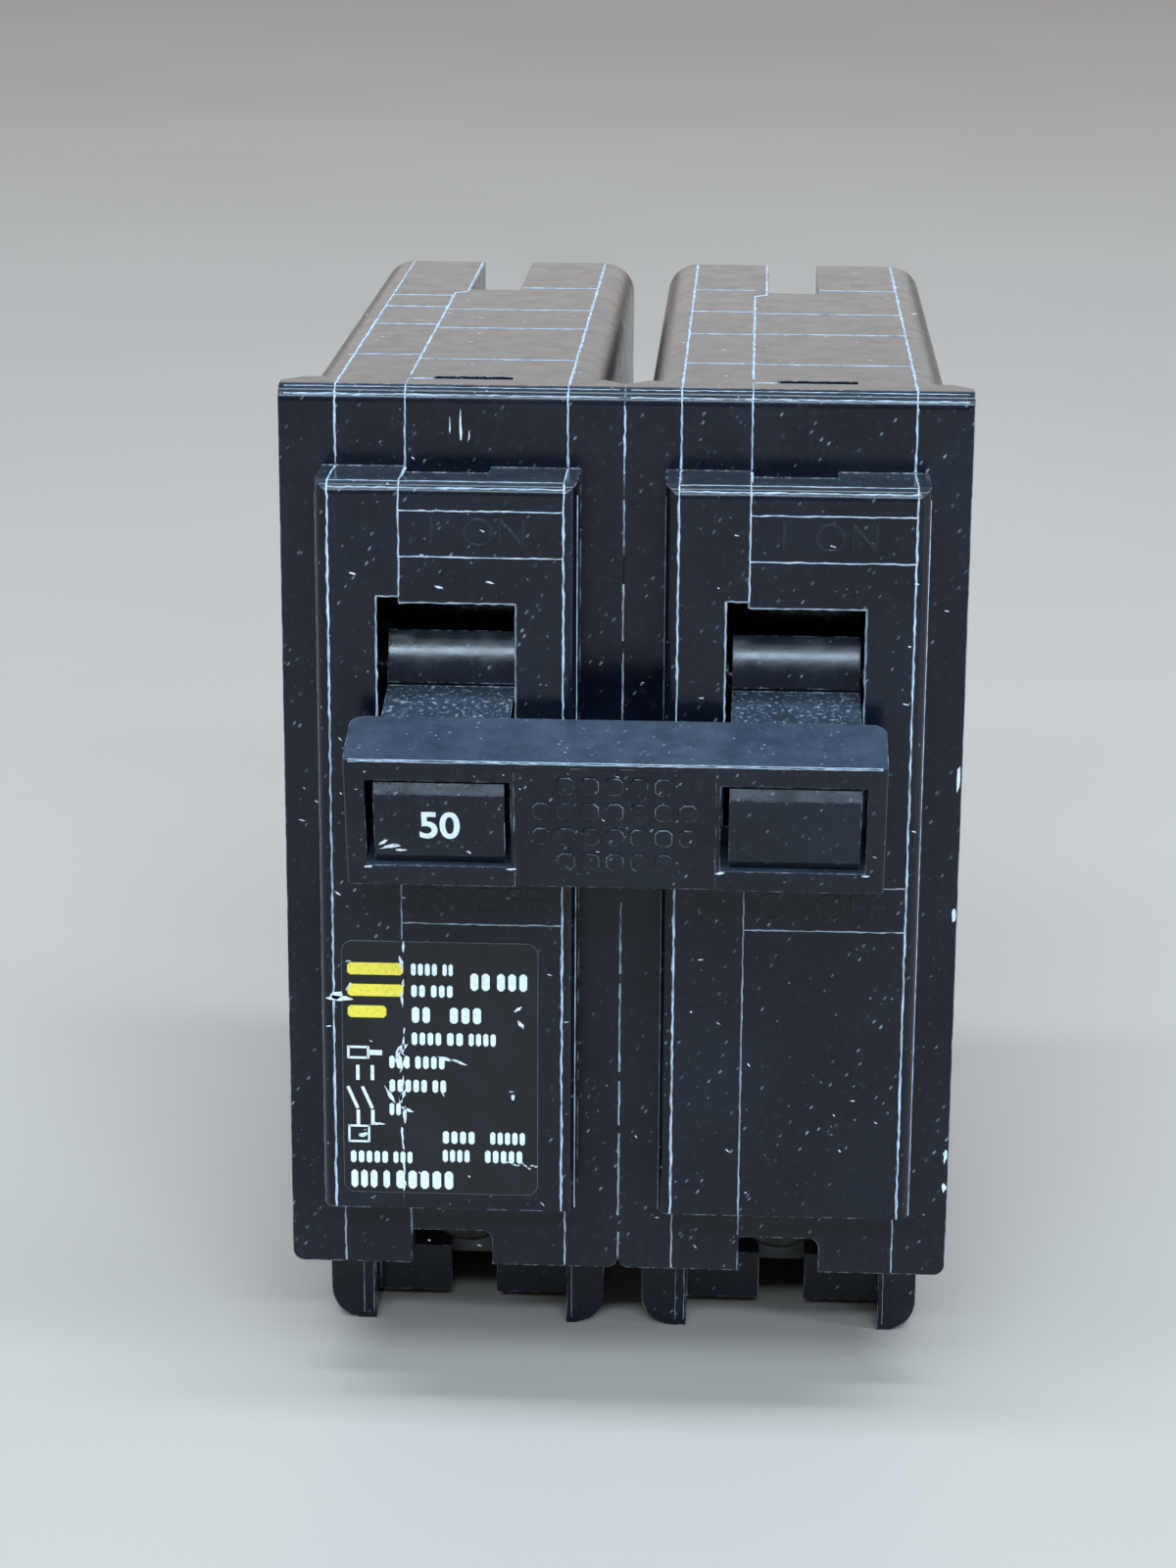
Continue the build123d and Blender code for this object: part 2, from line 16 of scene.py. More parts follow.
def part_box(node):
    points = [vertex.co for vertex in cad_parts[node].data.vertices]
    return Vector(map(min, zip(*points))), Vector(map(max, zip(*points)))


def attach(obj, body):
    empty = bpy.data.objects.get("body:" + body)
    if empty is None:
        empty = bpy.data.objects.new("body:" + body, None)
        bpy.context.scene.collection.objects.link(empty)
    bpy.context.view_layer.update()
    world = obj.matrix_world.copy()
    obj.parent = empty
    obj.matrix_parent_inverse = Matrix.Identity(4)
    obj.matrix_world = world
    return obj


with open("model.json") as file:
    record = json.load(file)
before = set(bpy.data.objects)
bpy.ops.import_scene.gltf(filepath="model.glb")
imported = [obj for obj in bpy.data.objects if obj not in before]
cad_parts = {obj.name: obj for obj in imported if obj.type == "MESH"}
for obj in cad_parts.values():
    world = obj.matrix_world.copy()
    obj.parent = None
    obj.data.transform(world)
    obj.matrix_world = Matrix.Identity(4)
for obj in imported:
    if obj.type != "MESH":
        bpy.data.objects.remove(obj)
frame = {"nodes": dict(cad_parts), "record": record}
bpy.context.view_layer.update()
MM = 0.001

# ---- places read from the frame -----------------------------------------------------------
BOSS_RISE = 5.7
FACE_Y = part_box("left_case_base")[0].y / MM + BOSS_RISE
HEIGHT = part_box("left_case_base")[1].z / MM
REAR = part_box("left_case_base")[1].y / MM - FACE_Y
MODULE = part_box("right_case_base")[1].x / MM
POLE_X = {"left": -MODULE, "right": 0.0}
BOSS_Y = -BOSS_RISE
BOSS_TOP = 73.6
BOSS_BOTTOM = 17.3
FACE_BOTTOM = 10.3
FACE_ROUND = 1.2          # rounding of the face plate's top edge
BOSS_ROUND = 0.95
BAND_LEFT = 4.15          # the flat band between the mould's side inserts
BAND_RIGHT = 21.25
SEAM = 9.3
WINDOW = (7.6, 17.8, 47.0, 64.7)
FOOT_Y = 11.9
PIVOT = (8.0, 55.85)
HANDLE_TILT = 14.5
LEVER_LENGTH = 22.3
TIE_FRONT = 22.1
TIE_HALF_WIDTH = 19.35
TIE_HALF_HEIGHT = 5.2
HANDLE_MIDDLE = 12.85
TIE_PANEL_DEPTH = 0.15    # the tie's middle panel is sunk this far
LABEL_FACE = BOSS_Y - 0.12
WALL_INSET = 1.55         # the body's outer walls lie this far inside the face plate's edge
LINE_RISE = 0.05          # how proud the flash lines stand
PRINT_RISE = 0.02
SPECK_RISE = 0.012


def at(pole, x, y, z):
    """A point on a pole, in metres in the row frame."""
    return Vector((POLE_X[pole] + x, FACE_Y + y, z)) * MM


def on_lever(x, along, up):
    """A point on the levers at OFF, in row x: along is the distance in front of the handle pivot."""
    tilt = math.radians(HANDLE_TILT)
    y = PIVOT[0] - along * math.cos(tilt) - up * math.sin(tilt)
    z = PIVOT[1] - along * math.sin(tilt) + up * math.cos(tilt)
    return Vector((x, FACE_Y + y, z)) * MM


# ---- shader building ----------------------------------------------------------------------
class Shader:
    """A Principled material built from small named steps."""

    def __init__(self, name):
        self.material = bpy.data.materials.new(name)
        self.material.use_nodes = True
        self.tree = self.material.node_tree
        self.bsdf = self.tree.nodes["Principled BSDF"]
        self.place = self.node("ShaderNodeTexCoord").outputs["Object"]

    def node(self, kind, inputs=(), **settings):
        made = self.tree.nodes.new(kind)
        for key, value in settings.items():
            setattr(made, key, value)
        for key, value in dict(inputs).items():
            self.feed(made.inputs[key], value)
        return made

    def feed(self, socket, value):
        if isinstance(value, bpy.types.NodeSocket):
            self.tree.links.new(value, socket)
        else:
            socket.default_value = value

    def math(self, operation, a, b=0.0, clamp=False):
        made = self.node("ShaderNodeMath", {0: a, 1: b}, operation=operation, use_clamp=clamp)
        return made.outputs[0]

    def mapped(self, stretch=(1, 1, 1), turn=(0, 0, 0)):
        angles = [math.radians(a) for a in turn]
        turned = self.node("ShaderNodeMapping", {"Vector": self.place, "Rotation": angles})
        made = self.node("ShaderNodeMapping", {"Vector": turned.outputs[0], "Scale": stretch})
        return made.outputs[0]

    def noise(self, size_mm, detail=3.0, rough=0.55, stretch=(1, 1, 1), turn=(0, 0, 0)):
        inputs = {"Vector": self.mapped(stretch, turn), "Scale": 1 / (size_mm * MM),
                  "Detail": detail, "Roughness": rough}
        return self.node("ShaderNodeTexNoise", inputs).outputs["Fac"]

    def ramp(self, value, low, high, to_low=0.0, to_high=1.0):
        inputs = {"Value": value, "From Min": low, "From Max": high, "To Min": to_low, "To Max": to_high}
        return self.node("ShaderNodeMapRange", inputs, interpolation_type="SMOOTHSTEP").outputs["Result"]

    def mix(self, amount, a, b):
        made = self.node("ShaderNodeMix", data_type="RGBA")
        for index, value in ((0, amount), (6, a), (7, b)):
            self.feed(made.inputs[index], value)
        return made.outputs[2]

    def flecks(self, size_mm, share, radius, stretch=(1, 1, 1), turn=(0, 0, 0)):
        """Scattered specks: one in each of a share of the cells."""
        inputs = {"Vector": self.mapped(stretch, turn), "Scale": 1 / (size_mm * MM)}
        cells = self.node("ShaderNodeTexVoronoi", inputs)
        parts = self.node("ShaderNodeSeparateColor", {"Color": cells.outputs["Color"]})
        chosen = self.math("LESS_THAN", parts.outputs[0], share)
        chosen = self.math("MULTIPLY", chosen, self.math("POWER", parts.outputs[1], 1.8))
        near = self.ramp(cells.outputs["Distance"], radius, radius * 0.45)
        return self.math("MULTIPLY", chosen, near)

    def edges(self, radius_mm):
        """1 on sharp edges, fading over about radius_mm."""
        soft = self.node("ShaderNodeBevel", {"Radius": radius_mm * MM}, samples=6).outputs[0]
        true = self.node("ShaderNodeNewGeometry").outputs["Normal"]
        agree = self.node("ShaderNodeVectorMath", {0: soft, 1: true}, operation="DOT_PRODUCT")
        return self.ramp(agree.outputs["Value"], 0.985, 0.80)

    def relief(self, height, depth_mm, round_mm=0.0):
        """Bump from a height value, on a normal whose sharp edges are rounded by round_mm."""
        made = self.node("ShaderNodeBump", {"Height": height, "Distance": depth_mm * MM})
        if round_mm:
            soft = self.node("ShaderNodeBevel", {"Radius": round_mm * MM}, samples=6)
            self.tree.links.new(soft.outputs[0], made.inputs["Normal"])
        self.tree.links.new(made.outputs[0], self.bsdf.inputs["Normal"])

    def set(self, **inputs):
        for key, value in inputs.items():
            self.feed(self.bsdf.inputs[key.replace("_", " ")], value)
        return self.material


def colour(r, g, b):
    return (r, g, b, 1.0)


RUBBED = colour(0.52, 0.60, 0.70)


# ---- materials ----------------------------------------------------------------------------
def moulded(name, base, shine, dust, wear, grain=0.5, top_dust_and_sheen=0.085, dust_and_sheen_colour=(0.40, 0.46, 0.54),
            grit=0.0):
    """Black moulded plastic: faint blotches, pale dust and flecks, rubbed edges, fine scratches.

    The share for upward faces mixes them towards a colour: dust, together with a painted sheen for the
    lighter tops that light from above gives them; grit adds pale grains there.
    """
    s = Shader(name)
    blotch = s.noise(9.0, 4.0)
    fine = s.noise(0.35, 2.0)
    patchy = s.ramp(s.noise(14.0, 3.0), 0.35, 0.7, 0.25, 1.0)
    dots = s.flecks(0.85, 0.36, 0.13)
    dashes = s.flecks(0.50, 0.55, 0.22, (0.45, 1, 1), (12, 52, 10))
    hairs = s.flecks(1.1, 0.50, 0.085, (0.22, 1, 1), (20, -38, 40))
    haze = s.ramp(s.noise(0.7, 4.0, 0.7), 0.52, 0.80)
    specks = s.math("MAXIMUM", s.math("MULTIPLY", dots, 0.9), s.math("MULTIPLY", dashes, 0.60))
    specks = s.math("MAXIMUM", specks, s.math("MULTIPLY", hairs, 0.5))
    dirt = s.math("MULTIPLY", s.math("MULTIPLY", specks, patchy), dust)
    dirt = s.math("ADD", dirt, s.math("MULTIPLY", haze, 0.025 * dust))
    normal = s.node("ShaderNodeTexCoord").outputs["Normal"]
    facing = s.node("ShaderNodeSeparateXYZ", {0: normal}).outputs[2]
    patches = s.ramp(s.noise(2.5, 5.0, 0.65), 0.25, 0.75, 0.5, 1.0)
    # dust and painted sheen: upward faces are lightened towards a colour, as if they caught light from
    # above
    dust_and_sheen_on_tops = s.math("MULTIPLY", s.ramp(facing, 0.55, 0.98), patches)
    rub = s.ramp(s.noise(0.9, 4.0, 0.7, (1, 1, 0.35)), 0.44, 0.66)
    edge = s.math("MULTIPLY", s.math("MULTIPLY", s.edges(0.16), rub), wear)
    lighter = colour(*[c * 1.6 + 0.0012 for c in base])
    paint = s.mix(s.ramp(blotch, 0.3, 0.75), colour(*base), lighter)
    paint = s.mix(s.math("MULTIPLY", dust_and_sheen_on_tops, top_dust_and_sheen), paint, colour(*dust_and_sheen_colour))
    if grit:
        grains = s.ramp(s.noise(0.35, 4.0, 0.7), 0.55, 0.68)
        grains = s.math("MULTIPLY", grains, s.ramp(facing, 0.70, 0.95))
        paint = s.mix(s.math("MULTIPLY", grains, grit), paint, colour(0.50, 0.58, 0.66))
    paint = s.mix(dirt, paint, colour(0.38, 0.46, 0.56))
    paint = s.mix(edge, paint, RUBBED)
    rough = s.ramp(s.noise(2.2, 4.0, 0.65), 0.3, 0.75, shine - 0.03, shine + 0.05)
    rough = s.math("ADD", rough, s.math("MULTIPLY", dirt, 0.35), clamp=True)
    height = s.math("ADD", s.math("MULTIPLY", fine, grain), s.math("MULTIPLY", specks, 0.6))
    s.relief(height, 0.006, 0.12)
    return s.set(Base_Color=paint, Roughness=rough, IOR=1.47, Specular_IOR_Level=0.32)


def line_material(name):
    """The raised flash lines, rubbed pale where hands and boxes have touched them; the same pale also
    draws painted highlights along rounded edges.
    """
    s = Shader(name)
    wear_and_highlight = s.node("ShaderNodeAttribute", attribute_name="wear_and_highlight").outputs["Fac"]
    breaks = s.ramp(s.noise(1.3, 4.0, 0.7), 0.26, 0.50, 0.45, 1.25)
    fine = s.ramp(s.noise(0.25, 3.0, 0.7), 0.25, 0.6, 0.75, 1.0)
    pale = s.math("MULTIPLY", s.math("MULTIPLY", wear_and_highlight, breaks), fine, clamp=True)
    paint = s.mix(pale, colour(0.014, 0.015, 0.018), colour(0.48, 0.57, 0.67))
    s.relief(s.noise(0.2, 3.0), 0.01)
    return s.set(Base_Color=paint, Roughness=s.ramp(pale, 0.0, 1.0, 0.35, 0.7))


def chalky(name, tint, low=0.30):
    """Scuffs and print: pale, slightly broken and matte."""
    s = Shader(name)
    broken = s.ramp(s.noise(0.3, 4.0, 0.75), low, 0.55)
    paint = s.mix(broken, colour(*[c * 0.45 for c in tint]), colour(*tint))
    s.relief(s.noise(0.15, 3.0), 0.01)
    return s.set(Base_Color=paint, Roughness=s.ramp(broken, 0.0, 1.0, 0.45, 0.75))


def film(name):
    """The rating label: smooth black film, with faint handling marks."""
    s = Shader(name)
    smear = s.noise(3.0, 4.0, 0.6, (1, 1, 0.4), (0, 25, 0))
    dots = s.flecks(1.6, 0.22, 0.10)
    hairs = s.flecks(2.6, 0.30, 0.05, (0.15, 1, 1), (0, 35, 0))
    dirt = s.math("MULTIPLY", s.math("MAXIMUM", dots, hairs), 0.35)
    dark, light = colour(0.0028, 0.0036, 0.0055), colour(0.006, 0.0075, 0.0105)
    paint = s.mix(s.ramp(smear, 0.35, 0.7), dark, light)
    paint = s.mix(dirt, paint, colour(0.45, 0.49, 0.54))
    edge = s.math("MULTIPLY", s.edges(0.10), 0.35)
    paint = s.mix(edge, paint, RUBBED)
    s.relief(s.math("ADD", smear, dirt), 0.006, 0.05)
    return s.set(Base_Color=paint, Roughness=s.ramp(smear, 0.3, 0.7, 0.30, 0.42),
                 Specular_IOR_Level=0.38)


def metal(name, tint, rough, tarnish, brushed=(1, 1, 0.06), grime=0.5):
    """Worked metal: brushing, patches of tarnish and dark grime in scattered pits."""
    s = Shader(name)
    brush = s.noise(0.12, 3.0, 0.6, brushed)
    patch = s.ramp(s.noise(2.4, 4.0, 0.65), 0.40, 0.70)
    pits = s.flecks(0.8, 0.2, 0.16)
    paint = s.mix(patch, colour(*tint), colour(*tarnish))
    paint = s.mix(s.math("MULTIPLY", pits, grime), paint, colour(*[c * 0.25 for c in tarnish]))
    bright = s.math("MULTIPLY", s.edges(0.12), 0.5)
    paint = s.mix(bright, paint, colour(*[min(1.0, c * 1.25) for c in tint]))
    gloss = s.math("ADD", s.ramp(brush, 0.3, 0.7, rough - 0.08, rough + 0.08),
                   s.math("MULTIPLY", patch, 0.12), clamp=True)
    s.relief(s.math("ADD", brush, s.math("MULTIPLY", pits, -0.5)), 0.008, 0.08)
    return s.set(Base_Color=paint, Metallic=1.0, Roughness=gloss)


def table_top(name):
    """Plain pale floor."""
    s = Shader(name)
    cloud = s.ramp(s.noise(220.0, 3.0), 0.3, 0.7)
    paint = s.mix(cloud, colour(0.48, 0.415, 0.365), colour(0.51, 0.445, 0.39))
    s.relief(s.noise(1.2, 3.0), 0.02)
    return s.set(Base_Color=paint, Roughness=0.55)


FINISHES = {
    "case": lambda n: moulded(n, (0.0024, 0.0036, 0.0074), shine=0.20, dust=1.0, wear=0.85),
    # handle: the upward-face mix adds a bluish painted sheen besides dust
    "handle": lambda n: moulded(n, (0.0044, 0.0062, 0.0110), shine=0.17, dust=0.9, wear=0.60,
                                grain=0.8, top_dust_and_sheen=0.10, dust_and_sheen_colour=(0.30, 0.40, 0.52), grit=0.6),
    # tie: the upward-face mix is mostly a painted blue-grey sheen on its top
    "tie": lambda n: moulded(n, (0.0036, 0.0050, 0.0090), shine=0.26, dust=1.0, wear=0.60,
                             top_dust_and_sheen=0.30, dust_and_sheen_colour=(0.15, 0.20, 0.28)),
    "trip_bar": lambda n: moulded(n, (0.020, 0.018, 0.016), shine=0.42, dust=0.4, wear=0.3),
    "label": film,
    "steel": lambda n: metal(n, (0.56, 0.56, 0.57), 0.30, (0.36, 0.34, 0.32)),
    # painted shade: the lug screw gets near-black steel for the shadow in the notch it sits in
    "screw_steel": lambda n: metal(n, (0.050, 0.050, 0.053), 0.46, (0.030, 0.028, 0.026)),
    "rivet_steel": lambda n: metal(n, (0.52, 0.52, 0.52), 0.33, (0.33, 0.31, 0.28)),
    "zinc_steel": lambda n: metal(n, (0.50, 0.51, 0.54), 0.33, (0.40, 0.38, 0.30)),
    "silver_alloy": lambda n: metal(n, (0.78, 0.77, 0.73), 0.36, (0.45, 0.42, 0.36)),
    "copper": lambda n: metal(n, (0.80, 0.40, 0.24), 0.30, (0.42, 0.20, 0.12)),
    "tinned_copper": lambda n: metal(n, (0.66, 0.62, 0.57), 0.34, (0.50, 0.40, 0.30)),
    "bimetal": lambda n: metal(n, (0.58, 0.54, 0.46), 0.30, (0.44, 0.38, 0.28)),
    # painted shade: the aluminium lug gets a dark grey in place of its pale metal, for the shadow deep
    # in the notch
    "lug_aluminium": lambda n: metal(n, (0.13, 0.13, 0.135), 0.55, (0.08, 0.08, 0.075)),
}


def paint_frame():
    """Gives every CAD node the finish of its material slot."""
    made = {slot: finish("finish_" + slot) for slot, finish in FINISHES.items()}
    for row in frame["record"]["subparts"]:
        node = frame["nodes"][row["node"]]
        node.data.materials[0] = made[row["material_slot"]]
    return made


# ---- mesh building ------------------------------------------------------------------------
def finish_piece(name, bm, body, material):
    """Turns a bmesh into a piece that rides on a body."""
    mesh = bpy.data.meshes.new(name)
    bmesh.ops.recalc_face_normals(bm, faces=bm.faces)
    bm.to_mesh(mesh)
    bm.free()
    piece = bpy.data.objects.new(name, mesh)
    bpy.context.scene.collection.objects.link(piece)
    mesh.materials.append(material)
    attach(piece, body)
    return piece


def spread_points(points, step_mm):
    """Points and normals along a route, no further apart than step_mm."""
    out = [points[0]]
    for (a, na), (b, nb) in zip(points, points[1:]):
        count = max(1, math.ceil((b - a).length / (step_mm * MM)))
        for i in range(1, count + 1):
            t = i / count
            out.append((a.lerp(b, t), na.lerp(nb, t).normalized()))
    return out


def add_ridge(bm, points, width_mm, rise_mm, wear_and_highlight, rng):
    """A low three-sided ridge along a route on a surface. points are (place, outward normal)."""
    # per-vertex paleness: wear on the flash lines, painted highlight on the edge bands
    wear = bm.verts.layers.float.get("wear_and_highlight") or bm.verts.layers.float.new("wear_and_highlight")
    route = spread_points(points, 0.55)
    rings = []
    for i, (place, normal) in enumerate(route):
        ahead = route[min(i + 1, len(route) - 1)][0] - route[max(i - 1, 0)][0]
        side = ahead.cross(normal).normalized()
        half = width_mm * MM * 0.78 * rng.uniform(0.6, 1.3)
        drift = side * rng.uniform(-0.03, 0.03) * MM
        top = place + drift + normal * rise_mm * MM * rng.uniform(0.6, 1.1)
        sunk = normal * 0.05 * MM
        ring = [bm.verts.new(place + drift - side * half - sunk), bm.verts.new(top),
                bm.verts.new(place + drift + side * half - sunk)]
        amount = wear_and_highlight * rng.uniform(0.6, 1.0)
        for vert in ring:
            vert[wear] = amount
        rings.append(ring)
    for a, b in zip(rings, rings[1:]):
        for i in range(3):
            bm.faces.new((a[i], a[(i + 1) % 3], b[(i + 1) % 3], b[i]))
    bm.faces.new(rings[0])
    bm.faces.new(reversed(rings[-1]))


def add_flake(bm, centre, right, up, length_mm, width_mm, turn_deg, rng, points=9, rise_mm=0.02):
    """A thin jagged flake lying on a surface, longer along its own turned axis."""
    normal = right.cross(up).normalized()
    angle = math.radians(turn_deg)
    outline = []
    for i in range(points):
        a = 2 * math.pi * (i + rng.uniform(-0.3, 0.3)) / points
        u = math.cos(a) * length_mm / 2 * rng.uniform(0.45, 1.1)
        v = math.sin(a) * width_mm / 2 * rng.uniform(0.35, 1.1)
        x = u * math.cos(angle) - v * math.sin(angle)
        y = u * math.sin(angle) + v * math.cos(angle)
        outline.append(centre + (right * x + up * y) * MM)
    low = [bm.verts.new(p - normal * 0.02 * MM) for p in outline]
    high = [bm.verts.new(p + normal * rise_mm * MM) for p in outline]
    bm.faces.new(high)
    bm.faces.new(reversed(low))
    for i in range(points):
        j = (i + 1) % points
        bm.faces.new((low[i], low[j], high[j], high[i]))


def add_slab(bm, centre, right, up, size, rise_mm=0.02, round_mm=0.0):
    """A thin printed or raised rectangle, with its corners cut by round_mm."""
    normal = right.cross(up).normalized()
    w, h = size[0] / 2, size[1] / 2
    c = min(round_mm, w, h)
    if c:
        corners = [(-w + c, -h), (w - c, -h), (w, -h + c), (w, h - c),
                   (w - c, h), (-w + c, h), (-w, h - c), (-w, -h + c)]
    else:
        corners = [(-w, -h), (w, -h), (w, h), (-w, h)]
    low = [bm.verts.new(centre + (right * x + up * y - normal * 0.02) * MM) for x, y in corners]
    high = [bm.verts.new(centre + (right * x + up * y + normal * rise_mm) * MM) for x, y in corners]
    bm.faces.new(high)
    bm.faces.new(reversed(low))
    for i in range(len(corners)):
        j = (i + 1) % len(corners)
        bm.faces.new((low[i], low[j], high[j], high[i]))


def text_piece(name, words, height_mm, centre, right, up, body, material, rise_mm, bold_mm=0.0):
    """Raised or printed characters, centred on a point of a flat face."""
    curve = bpy.data.curves.new(name, "FONT")
    curve.body = words
    curve.align_x = "CENTER"
    curve.align_y = "CENTER"
    curve.size = height_mm * 1.4 * MM
    curve.offset = bold_mm * MM
    curve.extrude = rise_mm * MM
    maker = bpy.data.objects.new(name + "_maker", curve)
    bpy.context.scene.collection.objects.link(maker)
    bpy.context.view_layer.update()
    mesh = bpy.data.meshes.new_from_object(maker.evaluated_get(bpy.context.evaluated_depsgraph_get()))
    bpy.data.objects.remove(maker)
    normal = right.cross(up).normalized()
    turn = Matrix((right, up, normal)).transposed().to_4x4()
    mesh.transform(Matrix.Translation(centre) @ turn)
    mesh.name = name
    mesh.materials.clear()
    mesh.materials.append(material)
    piece = bpy.data.objects.new(name, mesh)
    bpy.context.scene.collection.objects.link(piece)
    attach(piece, body)
    return piece


# ---- flash lines and painted edge highlights ----------------------------------------------
UP = Vector((0, 0, 1))
FRONT = Vector((0, -1, 0))
BACK = Vector((0, 1, 0))
RIGHT = Vector((1, 0, 0))
LEFT = Vector((-1, 0, 0))


def rounded_edge(pole, x, y, z, radius, steps=5):
    """Over the rounded top front edge whose corner would be at (y, z), from the front to the top."""
    points = []
    for i in range(steps + 1):
        a = math.pi / 2 * i / steps
        normal = Vector((0, -math.cos(a), math.sin(a)))
        centre = at(pole, x, y + radius, z - radius)
        points.append((centre + normal * radius * MM, normal))
    return points


def flat(pole, normal, *places):
    """Points with one normal, for a line on a flat face."""
    return [(at(pole, *place), normal) for place in places]


def face_lines(pole):
    """Routes down the front of one pole: (points, width, wear)."""
    routes = []
    for x, wear in ((BAND_LEFT, 0.9), (SEAM, 0.8), (BAND_RIGHT, 0.95)):
        edge = rounded_edge(pole, x, 0, HEIGHT, FACE_ROUND)
        routes.append((flat(pole, FRONT, (x, 0, BOSS_TOP + 0.1)) + edge, 0.20, wear))
        foot = 13.3 if x == SEAM else FACE_BOTTOM + 0.1
        routes.append((flat(pole, FRONT, (x, 0, BOSS_BOTTOM), (x, 0, foot)), 0.17, wear * 0.85))
    for x, wear in ((BAND_LEFT, 0.9), (BAND_RIGHT, 0.9)):
        front = rounded_edge(pole, x, BOSS_Y, BOSS_TOP, BOSS_ROUND)
        route = flat(pole, FRONT, (x, BOSS_Y, BOSS_BOTTOM + 0.05)) + front
        routes.append((route + flat(pole, UP, (x, -0.1, BOSS_TOP)), 0.20, wear))
    left, right, low, high = WINDOW
    edge = rounded_edge(pole, SEAM, BOSS_Y, BOSS_TOP, BOSS_ROUND)
    seam_top = flat(pole, FRONT, (SEAM, BOSS_Y, high + 0.5)) + edge
    routes.append((seam_top + flat(pole, UP, (SEAM, -0.1, BOSS_TOP)), 0.17, 0.85))
    label_top = 38.9 if pole == "left" else BOSS_BOTTOM + 0.05
    routes.append((flat(pole, FRONT, (SEAM, BOSS_Y, low), (SEAM, BOSS_Y, label_top)), 0.15, 0.55))
    for z, wear in ((71.5, 0.8), (68.1, 0.75), (43.6, 0.45), (40.2, 0.5)):
        routes.append((flat(pole, FRONT, (SEAM, BOSS_Y, z), (BAND_RIGHT, BOSS_Y, z)), 0.15, wear))
    window = [(left, BOSS_Y, low), (left, BOSS_Y, high + 0.45), (SEAM, BOSS_Y, high + 0.45),
              (SEAM, BOSS_Y, high), (right, BOSS_Y, high), (right, BOSS_Y, low)]
    for a, b, wear in zip(window, window[1:], (0.75, 0.5, 0.3, 0.45, 0.45)):
        routes.append((flat(pole, FRONT, a, b), 0.12, wear))
    return routes


def around(pole, x, y, z, radius, angle):
    """A point on the rounded top front edge at an angle above straight ahead, and its normal."""
    a = math.radians(angle)
    normal = Vector((0, -math.cos(a), math.sin(a)))
    return at(pole, x, y + radius, z - radius) + normal * radius * MM, normal


def painted_edge_highlights(pole):
    """Painted highlights: pale bands along the rounded top edges of the face plate and the boss, where
    those edges would catch the lamps; the last number of each band sets how pale it is.
    """
    bands = [(0, HEIGHT, FACE_ROUND, 0.4, MODULE - 0.4, 28, 0.17, 0.70),
             (0, HEIGHT, FACE_ROUND, 0.4, MODULE - 0.4, 62, 0.12, 0.55),
             (BOSS_Y, BOSS_TOP, BOSS_ROUND, 4.1, 21.3, 32, 0.16, 0.80),
             (BOSS_Y, BOSS_TOP, BOSS_ROUND, 4.1, 21.3, 70, 0.11, 0.60)]
    return [([around(pole, x, y, z, r, angle) for x in (start, end)], width, wear)
            for y, z, r, start, end, angle, width, wear in bands]


def boss_side_lines(pole):
    """Where the boss's rounded corners end, on its two sides; the right-hand line is wider and paler, a
    painted highlight of the light from the right.
    """
    y = BOSS_Y + BOSS_ROUND
    return [(flat(pole, LEFT, (3.2, y, BOSS_BOTTOM), (3.2, y, BOSS_TOP - 1)), 0.14, 0.35),
            (flat(pole, RIGHT, (22.2, y, BOSS_BOTTOM), (22.2, y, BOSS_TOP - 1)), 0.22, 1.0)]


def top_lines(pole):
    """Routes over the line end: the band's edges, the stepped seam and the mould's cross lines."""
    top = HEIGHT
    routes = [(flat(pole, UP, (x, FACE_ROUND, top), (x, REAR - 0.4, top)), 0.24, 1.0)
              for x in (BAND_LEFT, BAND_RIGHT)]
    seam = [(SEAM, 5.0, top), (SEAM, 45.0, top), (10.3, 45.9, top), (10.3, REAR - 0.4, top)]
    routes.append((flat(pole, UP, *seam), 0.24, 1.0))
    slit = [(SEAM, FACE_ROUND, top), (SEAM, 3.4, top), (11.1, 3.4, top)]
    routes.append((flat(pole, UP, *slit), 0.14, 0.8))
    cover = (13.8, 28.3, 37.4, 43.6) if pole == "left" else (11.6, 25.3, 36.7, 48.4)
    base = (12.0, 26.7, 36.2, 48.2) if pole == "left" else (11.4, 25.5, 35.9, 48.7)
    for ys, x in ((cover, (BAND_LEFT, SEAM)), (base, (SEAM, BAND_RIGHT))):
        for y in ys:
            start = 14.8 if y > 46.5 and x[0] == SEAM else x[0]
            routes.append((flat(pole, UP, (start, y, top), (x[1], y, top)), 0.16, 0.75))
    return routes


def rear_lines(pole):
    """Routes down the back and under the feet, where the same mould inserts met."""
    routes = []
    for x in (BAND_LEFT, BAND_RIGHT, SEAM):
        low = 0.4 if x != SEAM else 10.0
        routes.append((flat(pole, BACK, (x, REAR, HEIGHT - 0.3), (x, REAR, low)), 0.16, 0.55))
    for x in ((4.2, 5.0) if pole == "left" else (4.3, 5.0)) + (21.2,):
        routes.append((flat(pole, FRONT, (x, FOOT_Y, 0.5), (x, FOOT_Y, FACE_BOTTOM)), 0.12, 0.40))
    return routes


